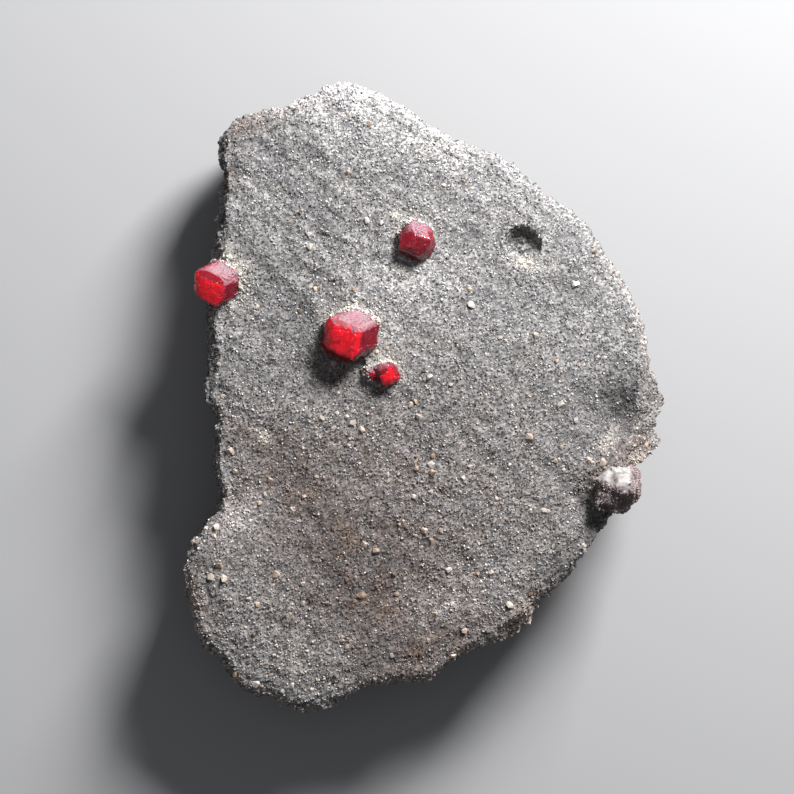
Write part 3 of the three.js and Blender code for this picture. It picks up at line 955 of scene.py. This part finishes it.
# the coated garnet in the right rim; the crest and the crater lie at millimetres from its middle
coatLook = dict(
    meshSize=0.13 * mm, cutEdges=0.5 * mm, seed=21,
    crest=(-0.3, 0.6), crestTurn=-20, crestWide=1.1 * mm, crestHigh=0.5 * mm,
    crater=(-0.7, 1.5), craterWide=0.75 * mm, craterDeep=0.6 * mm,
    lumps=0.22 * mm, grit=0.2 * mm, brokenBack=0.5 * mm, grains=1500,
)


def buildCoated(look):
    piece = crystalBase("coated_garnet", look)[0]
    places = placesOf(piece.data)
    normals = normalsOf(piece.data)
    middle = middleOf("coated_garnet")
    x = (places[:, 0] - middle.x) / mm
    y = (places[:, 1] - middle.y) / mm
    turn = math.radians(look["crestTurn"])
    crestX, crestY = look["crest"]
    across = -(x - crestX) * math.sin(turn) + (y - crestY) * math.cos(turn)
    lumps = soft(places, 1.3 * mm, look["seed"])
    grit = 0.5 - cells(places, 0.45 * mm, look["seed"] + 1)
    isUp = ramp(normals[:, 2], 0.0, 0.5)
    crest = isUp * np.exp(-(across / (look["crestWide"] / mm)) ** 2)
    pearly = isUp * ramp(across + 0.5 * lumps, -0.3, 0.3) * (1 - ramp(x + 0.6 * lumps, 1.6, 2.6))
    craterX, craterY = look["crater"]
    crater = isUp * np.exp(-((x - craterX) ** 2 + (y - craterY) ** 2) / (look["craterWide"] / mm) ** 2)
    # below the crest the crystal is broken back
    broken = ramp(-across, 0.1, 1.6) * isUp
    rise = look["lumps"] * lumps + look["grit"] * grit * (1 - pearly)
    rise += look["crestHigh"] * crest * (0.7 + 0.6 * lumps)
    rise -= look["craterDeep"] * crater + look["brokenBack"] * broken
    places += normals * rise[:, None]
    movePlaces(piece.data, places)
    keepNotes(piece.data, {"pearly": pearly, "crater": crater})
    print("coated garnet:", len(piece.data.polygons), "faces")
    return piece


def buildGrit(crystal, look):
    # mauve-brown grains over all of it but the pearly crest
    values = np.empty(len(crystal.data.vertices), np.float32)
    crystal.data.attributes["pearly"].data.foreach_get("value", values)
    tree = pointTree(placesOf(crystal.data))

    def offCrest(places, normals):
        bare = np.array([1 - values[tree.find(Vector(p))[1]] for p in places])
        return np.clip(bare, 0.06, 1) * (normals[:, 2] > -0.6)

    grit = dict(count=look["grains"], size=0.27 * mm, spread=0.35, corners=7, flatness=0.75, tilt=1.2,
                lift=0.12, seed=look["seed"] + 800, where=offCrest)
    return scatterGrains("coated_garnet_grit", crystal, grit)


def coatMaterial():
    material, tree, shader = newMaterial("mica_coat")
    pearl = colourRamp(tree, noiseAt(tree, 0.9 * mm, 3), [
        (0.35, (0.085, 0.078, 0.076)), (0.62, (0.21, 0.2, 0.193))])
    grit = colourRamp(tree, noiseAt(tree, 0.4 * mm, 3, 0.7), [
        (0.35, (0.035, 0.027, 0.027)), (0.5, (0.1, 0.078, 0.078)), (0.68, (0.22, 0.185, 0.185))])
    tone = mixColour(tree, noteOf(tree, "pearly"), grit, pearl)
    # painted shade darkens the crater
    tone = mixColour(tree, times(tree, noteOf(tree, "crater"), 0.7), tone, (0.05, 0.04, 0.04, 1))
    tree.links.new(tone, shader.inputs["Base Color"])
    shader.inputs["Roughness"].default_value = 0.8
    shader.inputs["Specular IOR Level"].default_value = 0.3
    addBump(tree, shader, noiseAt(tree, 0.25 * mm, 3, 0.6), 0.4, 0.08 * mm)
    return material


def dress(piece, material, slot, *nodes):
    # the material, the body, the slot, which is not used, and the imported nodes that the piece stands for
    piece.data.materials.clear()
    piece.data.materials.append(material)
    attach(piece, "root")
    if nodes:
        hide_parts(*nodes)


def awayFromCrystals(places):
    # 0 inside the crystals, 1 elsewhere
    keep = np.ones(len(places))
    for node in crystalTrees:
        keep *= crystalDistance(places, node, 2 * mm) > 0.05 * mm
    return keep


def onFace(places, normals):
    # thick on the face, thinner on the sides and sparse on the back
    share = np.where(normals[:, 2] > 0.3, 1.0, np.where(normals[:, 2] > -0.5, 0.35, 0.04))
    return share * awayFromCrystals(places)


# pale grains gather where the patches are paler and dark ones where they are darker, painted light and
# shade included
def paleOnFace(places, normals):
    return onFace(places, normals) * (1 + 5 * creamAt(places)) * (0.4 + 1.2 * lightAt(places))


def darkOnFace(places, normals):
    return onFace(places, normals) * (1 - 0.8 * creamAt(places)) * (1.6 - 1.2 * lightAt(places))


def mostlyLow(places, normals):
    lower = np.clip(0.8 - (places[:, 1] - rockLow.y) / rockSize.y, 0.08, 1)
    return (normals[:, 2] > 0.3) * lower * awayFromCrystals(places)


grainLooks = {
    "pale": dict(count=24000, size=0.3 * mm, seed=100, where=paleOnFace),
    "grey": dict(count=24000, size=0.32 * mm, lift=0.02, seed=200, where=onFace),
    "dark": dict(count=8000, size=0.25 * mm, flatness=0.5, lift=0.08, seed=300, where=darkOnFace),
    "knot": dict(count=280, size=0.8 * mm, spread=0.4, corners=14, flatness=0.55, tilt=0.6,
                 lift=-0.06, seed=400, where=mostlyLow),
    "rusty": dict(count=160, size=0.5 * mm, spread=0.35, corners=9, flatness=0.6, tilt=0.8,
                  lift=0.05, seed=450, where=onFace),
}

# the knots that stand out most, by their places across and along the slab
bigKnots = dict(
    size=0.52 * mm, spread=0.25, corners=16, flatness=0.6, tilt=0.7, lift=0.05, seed=480,
    places=[
        (0.167, 0.436), (0.408, 0.331), (0.415, 0.217), (0.46, 0.266), (0.483, 0.342), (0.517, 0.144),
        (0.521, 0.168), (0.183, 0.206), (0.133, 0.134), (0.252, 0.172), (0.096, 0.253), (0.069, 0.247),
        (0.346, 0.858), (0.31, 0.91), (0.221, 0.782), (0.25, 0.797), (0.381, 0.712), (0.308, 0.092),
        (0.233, 0.088), (0.2, 0.087), (0.787, 0.524), (0.762, 0.589), (0.56, 0.52), (0.6, 0.39),
        (0.33, 0.4), (0.7, 0.33), (0.64, 0.64)],
)


def placeKnots(piece, look):
    skin = skinTree(piece.data)
    at, normals = [], []
    for across, along in look["places"]:
        above = onSlab(across, along)
        above.z = 2 * rockSize.z
        hit, normal, _, _ = skin.ray_cast(above, Vector((0, 0, -1)))
        if hit:
            at.append(hit)
            normals.append(normal)
    return joinGrains("big_knots", np.array(at), np.array(normals), look)


rock = buildRock(rockLook)
dress(rock, rockMaterial(rockFinish), "rock", "matrix")
for kind, look in grainLooks.items():
    dress(scatterGrains(kind + "_grains", rock, look), grainMaterial(kind), "rock")
dress(placeKnots(rock, bigKnots), grainMaterial("knot"), "rock")

redGarnet = garnetMaterial(garnetFinish)
brightVeil = veilMaterial()
paleScales = frostMaterial()
lapMaterial = grainMaterial("lap")
for node, look in garnetLooks.items():
    crystal = buildGarnet(node, look)
    dress(crystal, redGarnet, "garnet", node)
    dress(buildVeils(node, look), brightVeil, "garnet")
    dress(buildFrostFlakes(node, crystal, look), paleScales, "garnet")
    dress(buildCover(node, crystal, look), lapMaterial, "rock")
coated = buildCoated(coatLook)
dress(coated, coatMaterial(), "coated_garnet", "coated_garnet")
dress(buildGrit(coated, coatLook), grainMaterial("mauve"), "coated_garnet")


studio = dict(
    floorSize=3.0, floorColour=(0.2, 0.2, 0.203, 1), floorRoughness=0.9,
    sky=(0.93, 0.96, 1.0, 1), skyStrength=0.25,
    keyCompass=60, keyHeight=31, keyDistance=0.44, keySize=0.16, keyPower=10.5,
    fillDistance=1.2, fillSize=0.8, fillPower=0.5,
    viewWidth=125.5 * mm, viewDistance=0.6, viewShift=-3.9 * mm, sensor=36,
)


def addLight(name, place, target, size, power):
    light = bpy.data.lights.new(name, "AREA")
    light.size = size
    light.energy = power
    piece = link(name, light)
    piece.location = place
    piece.visible_camera = False
    piece.rotation_euler = (target - piece.location).to_track_quat("-Z", "Y").to_euler()


def buildFloor(look):
    half = look["floorSize"] / 2
    mesh = bpy.data.meshes.new("floor")
    corners = [(-half, -half, 0), (half, -half, 0), (half, half, 0), (-half, half, 0)]
    mesh.from_pydata(corners, [], [(0, 1, 2, 3)])
    floor = link("floor", mesh)
    material, tree, shader = newMaterial("pale_floor")
    shader.inputs["Base Color"].default_value = look["floorColour"]
    shader.inputs["Roughness"].default_value = look["floorRoughness"]
    mesh.materials.append(material)


def buildLight(look):
    scene = bpy.context.scene
    scene.world = bpy.data.worlds.new("studio")
    scene.world.use_nodes = True
    sky = scene.world.node_tree.nodes["Background"]
    sky.inputs["Color"].default_value = look["sky"]
    sky.inputs["Strength"].default_value = look["skyStrength"]
    scene.view_settings.view_transform = "Standard"  # keeps the garnets' red
    face = Vector((0, 0, rockSize.z))
    height = math.radians(look["keyHeight"])
    towards = Vector(compassWay(look["keyCompass"], math.cos(height), math.sin(height)))
    addLight("key_light", face + towards * look["keyDistance"], face, look["keySize"], look["keyPower"])
    addLight("fill_light", (0, 0, look["fillDistance"]), face, look["fillSize"], look["fillPower"])


def buildCamera(look):
    camera = bpy.data.cameras.new("camera")
    camera.sensor_width = look["sensor"]
    camera.lens = look["sensor"] * look["viewDistance"] / look["viewWidth"]
    camera.clip_start = 0.01
    piece = link("camera", camera)
    piece.location = (look["viewShift"], 0, rockSize.z + look["viewDistance"])
    bpy.context.scene.camera = piece


buildFloor(studio)
buildLight(studio)
buildCamera(studio)
print("studio: floor, lights and camera")
